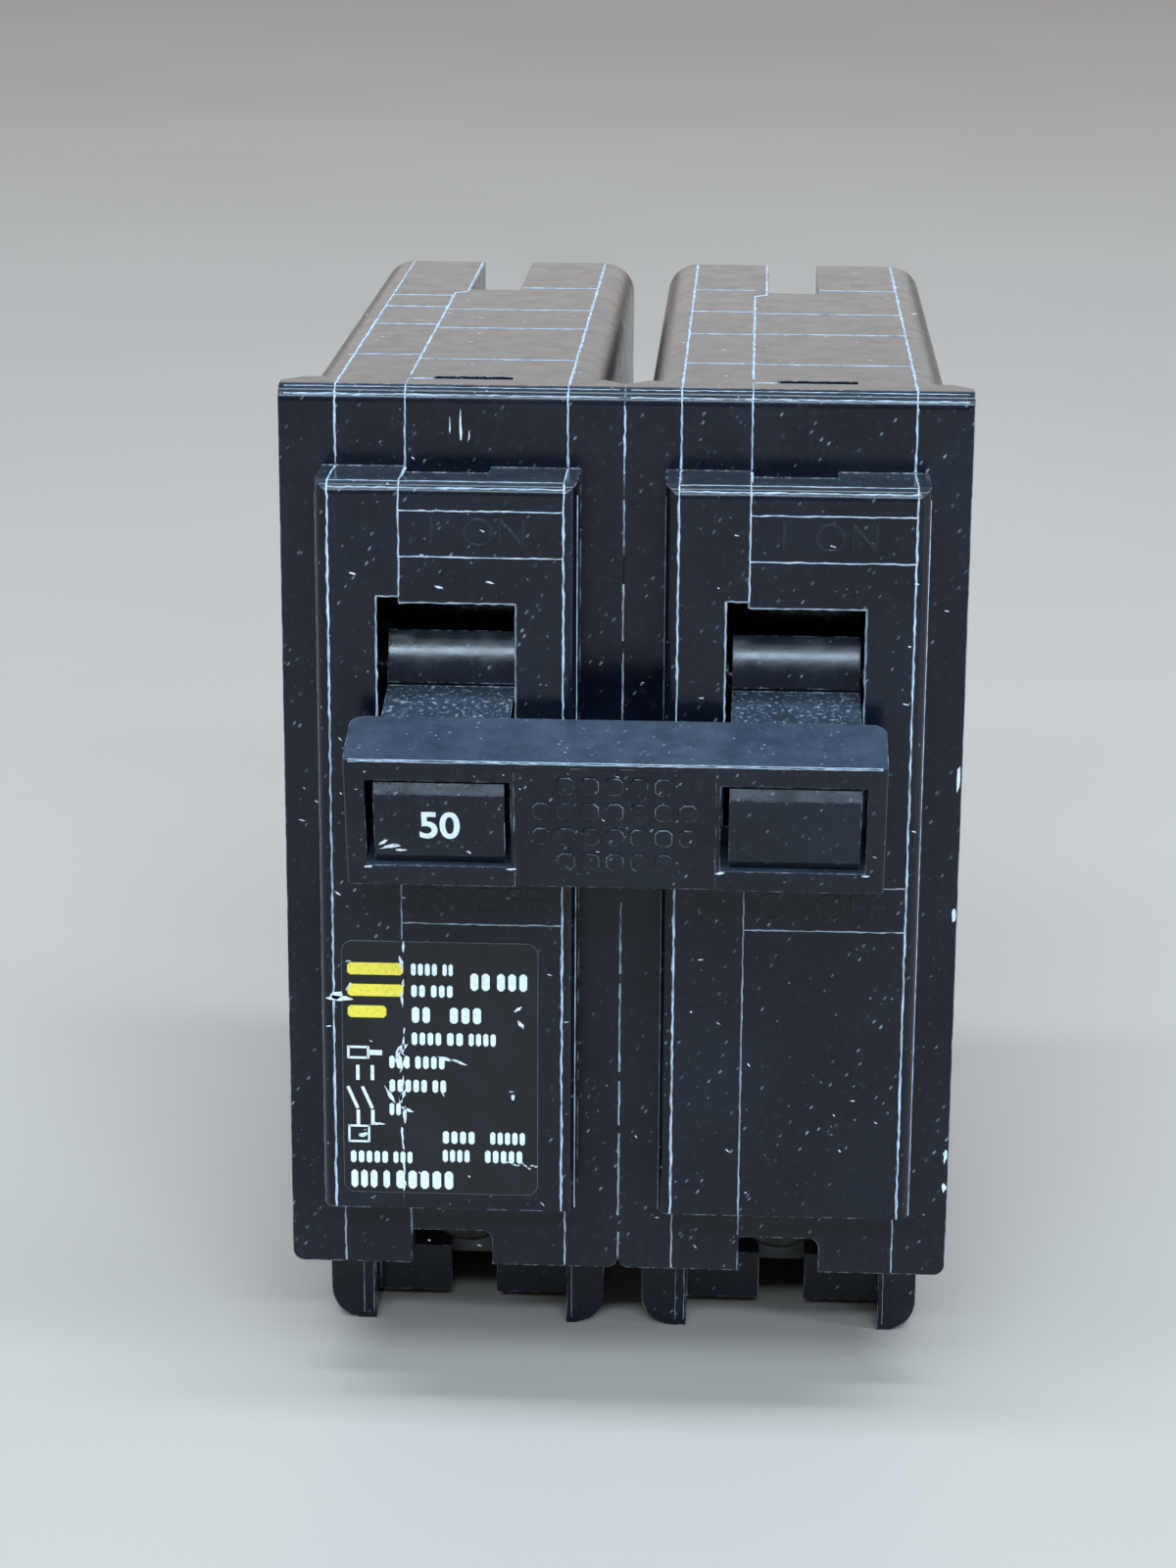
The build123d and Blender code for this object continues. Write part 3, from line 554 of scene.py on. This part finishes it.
def side_lines(side):
    """Mould lines and ejector marks on one of the breaker's two outer walls."""
    if side == "left":
        pole, x, normal = "left", WALL_INSET, LEFT
    else:
        pole, x, normal = "right", MODULE - WALL_INSET, RIGHT
    routes = []
    for y, low in ((6.5, FACE_BOTTOM + 0.5), (54.0, 3.5)):
        routes.append((flat(pole, normal, (x, y, low), (x, y, HEIGHT - 3.0)), 0.14, 0.5))
    for z in (29.5, 70.2):
        routes.append((flat(pole, normal, (x, 6.5, z), (x, 54.0, z)), 0.14, 0.4))
    for y, z, r in ((21.0, 40.0, 2.2), (44.0, 40.0, 2.2), (32.5, 60.0, 2.6), (60.0, 20.0, 1.4)):
        ring = []
        inset = 0.4 if y < 51 else 0.0
        for i in range(25):
            a = 2 * math.pi * i / 24
            depth = x + inset if side == "left" else x - inset
            ring.append((at(pole, depth, y + r * math.cos(a), z + r * math.sin(a)), normal))
        routes.append((ring, 0.10, 0.3))
    return routes


def joint_lines():
    """Broken lengths of line where the two poles' face plates meet."""
    span = (FACE_BOTTOM + 0.9, HEIGHT - FACE_ROUND)
    routes = []
    rng = random.Random(31)
    z = span[0]
    while z < span[1] - 2:
        length = rng.uniform(2.0, 9.0)
        end = min(z + length, span[1])
        routes.append((flat("right", FRONT, (0, 0, z), (0, 0, end)), 0.20, rng.uniform(0.5, 1.0)))
        z = end + rng.uniform(0.4, 3.0)
    return routes


def make_lines(material):
    """The flash lines of both poles and of the joint between them, with the painted highlight bands on
    the rounded top edges, as three pieces on the case.
    """
    for pole in POLE_X:
        name = f"{pole}_flash_lines"
        rng = random.Random(name)
        bm = bmesh.new()
        routes = face_lines(pole) + boss_side_lines(pole) + top_lines(pole) + rear_lines(pole)
        routes += side_lines(pole) + painted_edge_highlights(pole)
        for points, width, wear in routes:
            add_ridge(bm, points, width, LINE_RISE, wear, rng)
        finish_piece(name, bm, "case", material)
    rng = random.Random(7)
    bm = bmesh.new()
    for points, width, wear in joint_lines():
        add_ridge(bm, points, width, LINE_RISE, wear, rng)
    finish_piece("pole_joint_line", bm, "case", material)


# ---- printed and moulded marks ------------------------------------------------------------
def add_word(bm, left, middle, height, widths, gap):
    """A row of plain blocks in place of a line of print; widths are in mm, 0 is a space."""
    x = left
    for width in widths:
        count = round(width / (height * 0.60))
        for i in range(count):
            share = width / count
            centre = at("left", x + share * (i + 0.5), LABEL_FACE, middle)
            add_slab(bm, centre, RIGHT, UP, (share * 0.70, height), PRINT_RISE, height * 0.14)
        x += (width or height * 0.6) + gap


def label_print(white, yellow):
    """Generic bars and switch signs in the places of the label's print."""
    bm = bmesh.new()
    add_word(bm, 9.9, 36.6, 0.95, (2.1, 0.9), 0.28)
    add_word(bm, 9.9, 34.9, 0.95, (1.2, 1.8), 0.28)
    add_word(bm, 14.3, 35.7, 1.35, (1.7, 2.5), 0.3)
    add_word(bm, 9.9, 33.0, 1.25, (1.6, 0, 2.6), 0.25)
    add_word(bm, 9.9, 31.1, 1.0, (2.4, 1.4, 2.2), 0.25)
    add_word(bm, 8.2, 29.2, 1.0, (1.7, 2.4), 0.25)
    add_word(bm, 8.2, 27.3, 1.0, (3.0, 1.2), 0.25)
    add_word(bm, 8.2, 25.4, 1.0, (1.0,), 0.25)
    add_word(bm, 12.2, 23.2, 1.0, (2.6, 0, 2.8), 0.2)
    add_word(bm, 12.2, 21.7, 1.0, (2.2, 0, 3.0), 0.2)
    add_word(bm, 5.2, 21.5, 0.95, (3.0, 1.6), 0.25)
    add_word(bm, 5.2, 19.7, 1.45, (2.2, 0.7, 4.6), 0.25)
    face = LABEL_FACE
    # a two-pole switch sign: two broken lines with slanted blades
    for x in (5.9, 7.0):
        for z in (24.7, 28.3):
            add_slab(bm, at("left", x, face, z), RIGHT, UP, (0.26, 1.2), 0.02)
        lean = 0.4
        across = RIGHT * math.cos(lean) + UP * math.sin(lean)
        along = UP * math.cos(lean) - RIGHT * math.sin(lean)
        add_slab(bm, at("left", x - 0.4, face, 26.3), across, along, (0.24, 1.9), 0.02)
    # a stripped wire
    for z in (28.9, 29.75):
        add_slab(bm, at("left", 5.95, face, z + 0.6), RIGHT, UP, (1.5, 0.18), 0.02)
    for x in (5.2, 6.7):
        add_slab(bm, at("left", x, face, 29.93), RIGHT, UP, (0.18, 1.0), 0.02)
    add_slab(bm, at("left", 7.25, face, 29.93), RIGHT, UP, (1.0, 0.4), 0.02)
    # a framed box with a bar
    for z in (22.75, 24.0):
        add_slab(bm, at("left", 5.95, face, z), RIGHT, UP, (1.6, 0.16), 0.02)
    for x in (5.2, 6.7):
        add_slab(bm, at("left", x, face, 23.4), RIGHT, UP, (0.16, 1.35), 0.02)
    finish_piece("label_print", bm, "case", white)
    bm = bmesh.new()
    for z, width in ((36.6, 4.2), (34.9, 4.2), (33.2, 2.9)):
        add_slab(bm, at("left", 5.2 + width / 2, face, z), RIGHT, UP, (width, 0.95), 0.02, 0.2)
    finish_piece("label_colour_bars", bm, "case", yellow)


def case_scuffs(material):
    """White scuffs: across the label, down the seam, on the face plate and on its chipped edge."""
    rng = random.Random(11)
    bm = bmesh.new()
    face = BOSS_Y - 0.135
    for i in range(15):
        z = 38.4 - i * 1.35 + rng.uniform(-0.3, 0.3)
        if rng.random() < 0.75:
            add_flake(bm, at("left", SEAM + rng.uniform(-0.15, 0.15), face, z), RIGHT, UP,
                      rng.uniform(0.7, 1.7), rng.uniform(0.12, 0.32), 90 + rng.uniform(-18, 18), rng)
    stars = [(4.7, 34.2, 2.6, 0.5, -5), (4.3, 34.4, 1.2, 0.6, 25), (5.3, 35.2, 1.2, 0.25, 60),
             (9.2, 30.3, 1.5, 0.4, 40), (8.9, 29.6, 1.5, 0.45, 75), (12.6, 29.5, 1.4, 0.4, -15),
             (13.5, 29.3, 1.6, 0.25, -20), (8.3, 26.6, 1.7, 0.35, -60), (9.3, 26.5, 1.2, 0.4, 60),
             (9.6, 25.4, 1.3, 0.3, -20), (7.4, 24.2, 1.0, 0.3, 0), (6.2, 23.3, 0.9, 0.5, 10),
             (18.0, 33.6, 0.7, 0.35, 40), (18.2, 32.4, 0.9, 0.35, -50), (17.6, 26.6, 0.35, 0.6, 0)]
    for x, z, length, width, turn in stars:
        add_flake(bm, at("left", x, face, z), RIGHT, UP, length, width, turn, rng, 11)
    for i in range(9):
        x, z = 17.2 + i * 0.27, 21.3 - 0.05 * i + 0.18 * math.sin(i * 1.9)
        add_flake(bm, at("left", x, face, z), RIGHT, UP, 0.42, 0.13, rng.uniform(-50, 30), rng, 6)
    for x, z, length, width, turn in ((13.4, 76.6, 2.6, 0.22, 91), (12.6, 76.6, 1.6, 0.14, 90),
                                      (14.0, 75.9, 1.2, 0.14, 85), (9.9, 74.2, 0.5, 0.15, -30)):
        add_flake(bm, at("left", x, -0.01, z), RIGHT, UP, length, width, turn, rng, 9)
    for x, z in ((12.2, 65.9), (6.0, 66.8), (15.9, 66.3)):
        add_flake(bm, at("left", x, BOSS_Y - 0.01, z), RIGHT, UP, 0.8, 0.2, -15, rng, 8)
    for z, length in ((50.6, 2.8), (39.8, 1.6), (20.2, 1.2), (17.6, 1.0)):
        add_flake(bm, at("right", MODULE - 0.25, -0.01, z), RIGHT, UP, length, 0.42, 88, rng, 11)
    for pole in POLE_X:
        for _ in range(34):
            x, z = rng.uniform(1.0, 24.4), rng.uniform(11.5, 77.5)
            on_boss = 3.6 < x < 21.8 and BOSS_BOTTOM < z < BOSS_TOP
            in_window = WINDOW[0] - 1 < x < WINDOW[1] + 1 and 46 < z < 66
            beside_boss = not on_boss and 2.4 < x < 23.0 and 16 < z < 75
            if in_window or beside_boss:
                continue
            y = BOSS_Y - 0.01 if on_boss else -0.01
            if pole == "left" and on_boss and z < 39.5:
                y = face
            add_flake(bm, at(pole, x, y, z), RIGHT, UP, rng.uniform(0.25, 0.6),
                      rng.uniform(0.08, 0.16), rng.uniform(-60, 10), rng, 6, SPECK_RISE)
        for _ in range(22):
            x, y = rng.uniform(2.8, 22.6), rng.uniform(5.5, 60.0)
            if 9.5 < x < 15.7 and y > 45:
                continue
            add_flake(bm, at(pole, x, y, HEIGHT - 0.01), RIGHT, BACK, rng.uniform(0.3, 0.7),
                      rng.uniform(0.1, 0.2), rng.uniform(-60, 60), rng, 6, SPECK_RISE)
    finish_piece("case_scuffs", bm, "case", material)


def lever_axes():
    """Right and up along the flat ends of the levers, at OFF."""
    tilt = math.radians(HANDLE_TILT)
    return RIGHT, Vector((0, -math.sin(tilt), math.cos(tilt)))


def handle_marks(white, scuff, plastic):
    """The rating number, scuffs on the handle ends and the tie, and the tie's raised blocks."""
    right, up = lever_axes()
    left_x = POLE_X["left"] + HANDLE_MIDDLE
    text_piece("rating_number", "50", 2.15, on_lever(left_x, LEVER_LENGTH + 0.004, -0.1), right, up,
               "handles", white, 0.02, 0.06)
    rng = random.Random(5)
    bm = bmesh.new()
    for x, z, length, width, turn in ((-3.6, -1.85, 1.7, 0.5, 5), (-4.1, -1.5, 0.9, 0.3, 30),
                                      (-2.8, -2.1, 0.9, 0.22, 0), (2.1, -2.2, 0.5, 0.2, -30)):
        add_flake(bm, on_lever(left_x + x, LEVER_LENGTH, z), right, up, length, width, turn, rng, 10)
    finish_piece("handle_scuffs", bm, "handles", scuff)
    bm = bmesh.new()
    for side in (-1, 1):
        middle = side * MODULE / 2 + 0.05
        for corner in (-5.2, 5.2):
            add_flake(bm, on_lever(middle + corner, TIE_FRONT, -3.7), right, up, 0.75, 0.22, 5, rng, 8)
    for _ in range(26):
        x, z = rng.uniform(-19.0, 19.0), rng.uniform(-5.0, 5.0)
        if abs(z) < 3.8 and 7.0 < abs(x) < 18.4:
            continue
        depth = TIE_FRONT - (TIE_PANEL_DEPTH if abs(x) < 7.2 and z < 4.75 else 0.0)
        add_flake(bm, on_lever(x, depth, z), right, up, rng.uniform(0.2, 0.5), 0.09,
                  rng.uniform(-60, 20), rng, 6, SPECK_RISE)
    finish_piece("tie_scuffs", bm, "handles", scuff)
    bm = bmesh.new()
    for row, z in enumerate((3.3, 1.2, -0.9, -3.0)):
        count = (5, 7, 7, 5)[row]
        for i in range(count):
            x = (i - (count - 1) / 2) * 1.75
            place = on_lever(x, TIE_FRONT - TIE_PANEL_DEPTH, z)
            add_slab(bm, place, right, up, (1.25, 1.35), 0.12, 0.30)
    finish_piece("tie_grip_dashes", bm, "handles", plastic)


def handle_lines(material):
    """The pale upper front edge of the tie, on its front and on its top: rubbed wear together with a
    painted highlight along that edge.
    """
    rng = random.Random(17)
    tilt = math.radians(HANDLE_TILT)
    forward = Vector((0, -math.cos(tilt), -math.sin(tilt)))
    upward = lever_axes()[1]
    inset = 0.10
    ends = (-TIE_HALF_WIDTH + 0.4, TIE_HALF_WIDTH - 0.4)
    bm = bmesh.new()
    front = [(on_lever(x, TIE_FRONT, TIE_HALF_HEIGHT - inset), forward) for x in ends]
    top = [(on_lever(x, TIE_FRONT - inset, TIE_HALF_HEIGHT), upward) for x in ends]
    add_ridge(bm, front, 0.13, 0.03, 0.75, rng)
    add_ridge(bm, top, 0.13, 0.03, 0.9, rng)
    finish_piece("tie_edge_line", bm, "handles", material)


def switch_words(plastic):
    """ON and OFF, moulded in low relief above and below each window."""
    for pole in POLE_X:
        for name, words, z in (("on", "I  ON", 69.8), ("off", "O  OFF", 41.9)):
            text_piece(f"{pole}_{name}_mark", words, 2.2, at(pole, 15.0, BOSS_Y, z), RIGHT, UP,
                       "case", plastic, 0.02)


# ---- stage --------------------------------------------------------------------------------
def stage():
    """A square of floor under the load end."""
    side = 6.0
    mesh = bpy.data.meshes.new("floor")
    corners = [(-side, -side, 0), (side, -side, 0), (side, side, 0), (-side, side, 0)]
    mesh.from_pydata(corners, [], [(0, 1, 2, 3)])
    floor = bpy.data.objects.new("floor", mesh)
    bpy.context.scene.collection.objects.link(floor)
    mesh.materials.append(table_top("floor_surface"))


def camera():
    """The photograph's viewpoint: a little above the handles, looking down at the load end."""
    yaw, pitch, roll = -0.04563, 0.28613, -0.00591
    place = Vector((9.33, -284.22, 126.09)) * MM
    look = Vector((math.sin(yaw) * math.cos(pitch), math.cos(yaw) * math.cos(pitch), -math.sin(pitch)))
    level = Vector((math.cos(yaw), -math.sin(yaw), 0))
    down = look.cross(level)
    across = level * math.cos(roll) + down * math.sin(roll)
    drop = down * math.cos(roll) - level * math.sin(roll)
    data = bpy.data.cameras.new("camera")
    data.sensor_width = 36.0
    data.lens = 82.96
    data.clip_start = 0.01
    data.clip_end = 20.0
    view = bpy.data.objects.new("camera", data)
    bpy.context.scene.collection.objects.link(view)
    turn = Matrix((across, -drop, -look)).transposed().to_4x4()
    view.matrix_world = Matrix.Translation(place) @ turn
    bpy.context.scene.camera = view


def soft_box(name, place, target, size, watts, tint):
    """A rectangular lamp that faces a target and isn't seen by the camera."""
    data = bpy.data.lights.new(name, "AREA")
    data.shape = "RECTANGLE"
    data.size, data.size_y = size
    data.energy = watts
    data.color = tint
    lamp = bpy.data.objects.new(name, data)
    bpy.context.scene.collection.objects.link(lamp)
    lamp.visible_camera = False
    lamp.location = place
    lamp.rotation_euler = (Vector(target) - Vector(place)).to_track_quat("-Z", "Y").to_euler()


def lights():
    """Cool panels overhead and in front, a window to the right and a warm wall behind."""
    middle = (0, 0, 0.04)
    soft_box("overhead", (0.0, -0.27, 1.35), middle, (1.4, 0.14), 17.0, (0.66, 0.84, 1.0))
    soft_box("front_panel", (0.0, -1.05, 1.30), middle, (1.3, 0.45), 16.0, (0.66, 0.84, 1.0))
    soft_box("front_strip", (0.1, -1.55, 1.05), middle, (1.5, 0.10), 24.0, (0.64, 0.83, 1.0))
    soft_box("right_window", (1.5, -0.50, 0.40), middle, (0.30, 0.8), 13.0, (0.64, 0.83, 1.0))
    soft_box("back_wall", (0.0, 2.6, 0.80), middle, (4.6, 1.3), 13.0, (1.0, 0.93, 0.86))
    world = bpy.data.worlds.new("room")
    bpy.context.scene.world = world
    world.use_nodes = True
    tree = world.node_tree
    height = tree.nodes.new("ShaderNodeSeparateXYZ")
    ramp = tree.nodes.new("ShaderNodeValToRGB")
    coords = tree.nodes.new("ShaderNodeTexCoord")
    tree.links.new(coords.outputs["Generated"], height.inputs[0])
    tree.links.new(height.outputs["Z"], ramp.inputs[0])
    ramp.color_ramp.elements[0].position = 0.0
    ramp.color_ramp.elements[0].color = (0.36, 0.33, 0.30, 1)
    ramp.color_ramp.elements[1].position = 0.75
    ramp.color_ramp.elements[1].color = (0.20, 0.23, 0.28, 1)
    tree.links.new(ramp.outputs["Color"], tree.nodes["Background"].inputs["Color"])
    tree.nodes["Background"].inputs["Strength"].default_value = 0.75
    bpy.context.scene.view_settings.view_transform = "Standard"


# ---- assembly -----------------------------------------------------------------------------
finishes = paint_frame()
lines = line_material("flash_line")
chalk = chalky("scuff", (0.66, 0.72, 0.78))
print_white = chalky("print_white", (0.72, 0.78, 0.84), 0.12)
print_yellow = chalky("print_yellow", (0.76, 0.62, 0.06), 0.12)

make_lines(lines)
label_print(print_white, print_yellow)
case_scuffs(chalk)
handle_marks(print_white, chalk, finishes["tie"])
handle_lines(lines)
switch_words(moulded("raised_mark", (0.0060, 0.0085, 0.0135), 0.24, 0.5, 0.0, 0.3))
stage()
camera()
lights()

bpy.context.view_layer.update()
